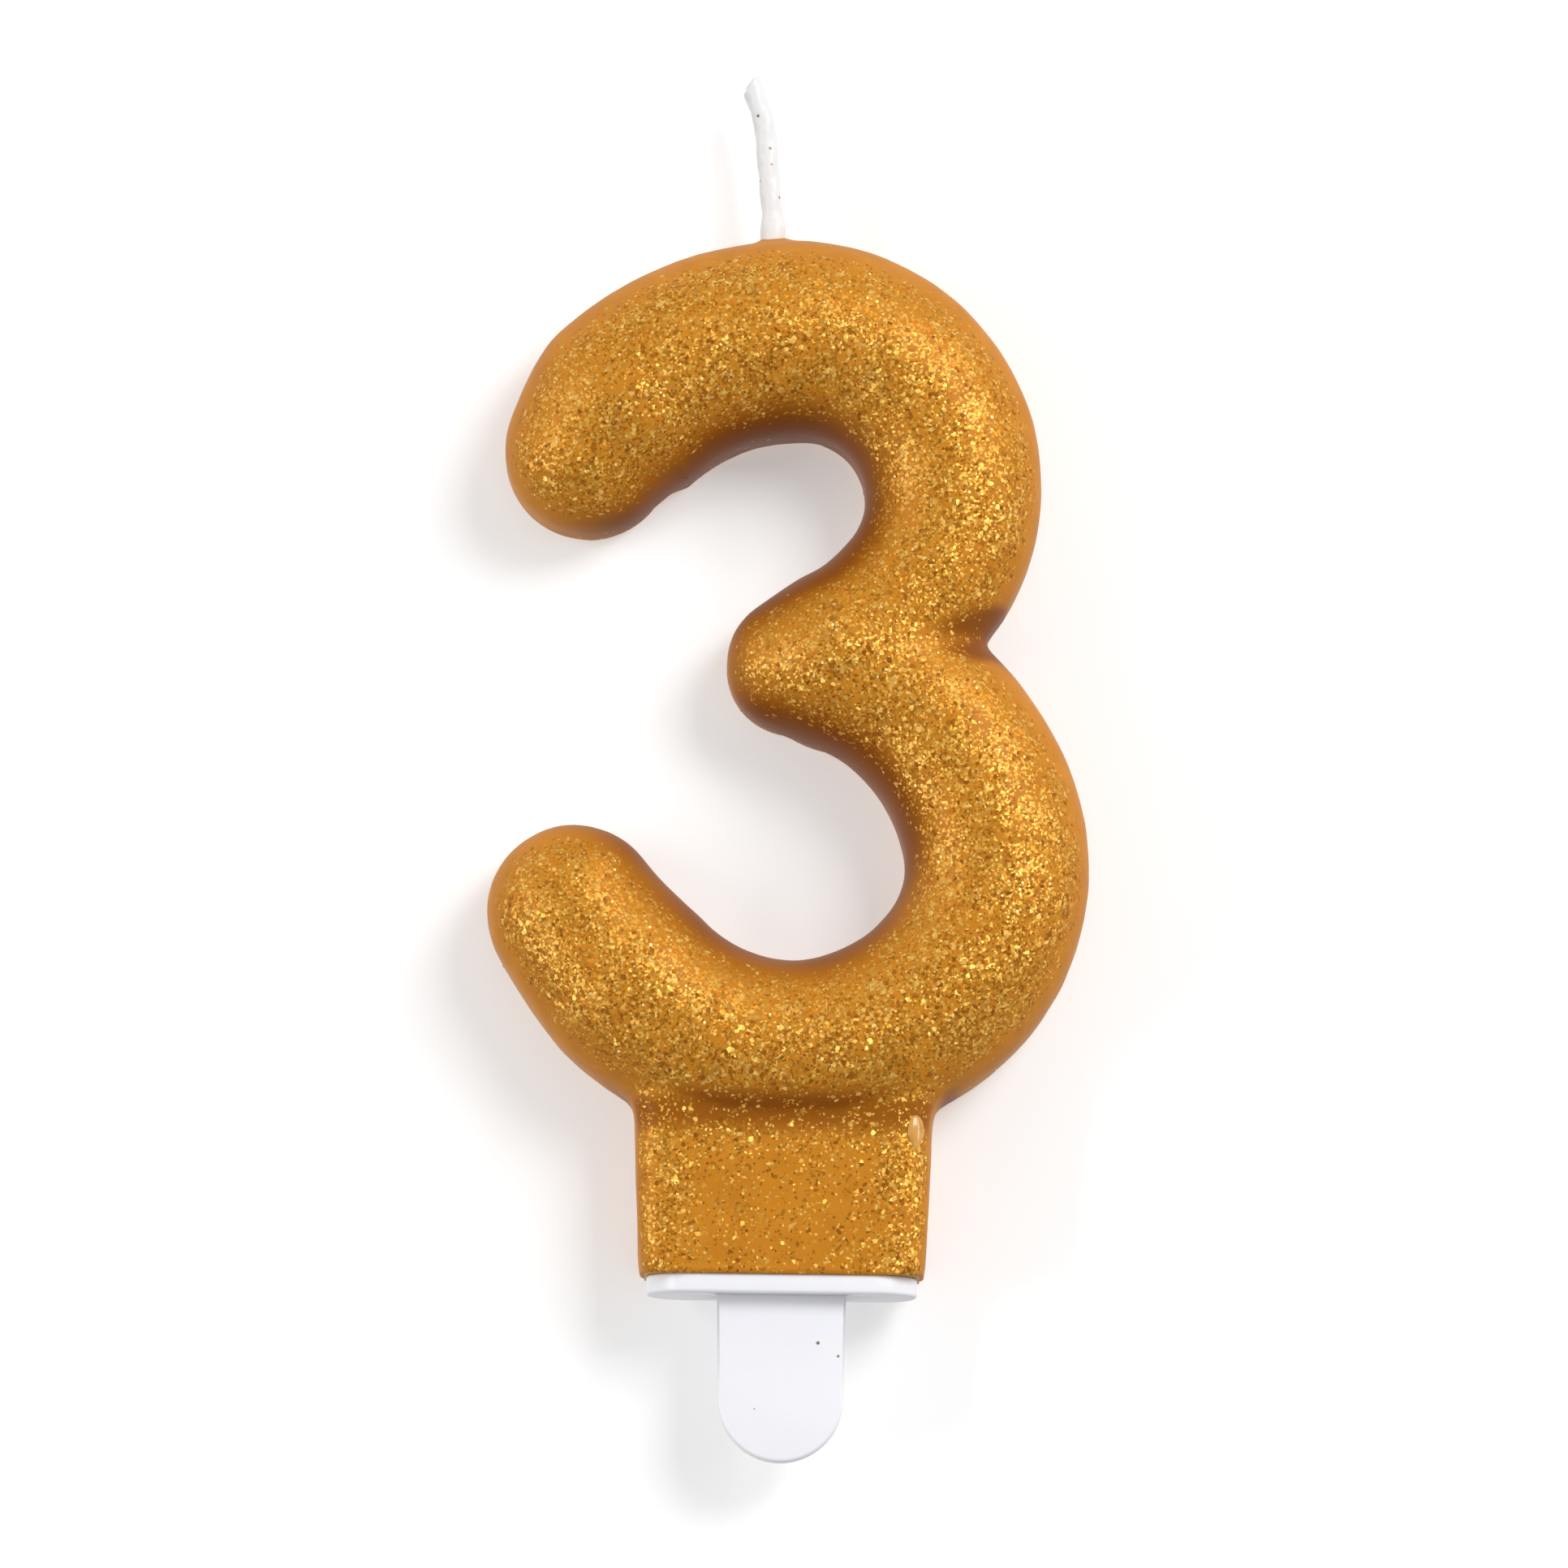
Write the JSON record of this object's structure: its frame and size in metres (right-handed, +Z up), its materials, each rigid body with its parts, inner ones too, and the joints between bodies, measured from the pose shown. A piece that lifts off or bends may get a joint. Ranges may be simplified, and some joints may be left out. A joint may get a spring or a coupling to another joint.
{
  "type": "number birthday candle",
  "caption": "Numeral-three birthday candle: glitter-coated cast wax figure with a wick at its top, on a moulded holder with a cake tray and a flat stake.",
  "frame": {"origin": "centre of the underside of the holder's tray, where the candle rests on the cake", "axes": "+Z up towards the wick, +X to the right of the numeral as it is read, front (rounded side) towards -Y, flat back towards +Y"},
  "size_m": [0.0328, 0.0087, 0.0765],
  "materials": {
    "white_plastic": "moulded polystyrene, glossy white",
    "gold_wax": "cast paraffin wax, dyed golden amber",
    "gold_glitter": "clear amber lacquer full of fine gold glitter",
    "cotton_wick": "plied cotton cord",
    "wick_wax": "thin skin of white wax over cotton"
  },
  "bodies": {
    "holder": {"holder_pick": "white_plastic"},
    "figure": {"wax_core": "gold_wax", "glitter_coat": "gold_glitter", "wick_in_wax": "cotton_wick"},
    "wick_end": {"wick_tip": "cotton_wick", "wick_wax_skin": "wick_wax"}
  },
  "joints": [
    {"name": "figure_lift", "type": "slide", "parent": "holder", "child": "figure", "axis": [0, 0, 1], "range_m": [0, 0.012]},
    {"name": "wick_bend", "type": "hinge", "parent": "figure", "child": "wick_end", "pos_m": [-0.00115, 0, 0.05871], "axis": [0, 1, 0], "range_deg": [-25, 25]}
  ]
}
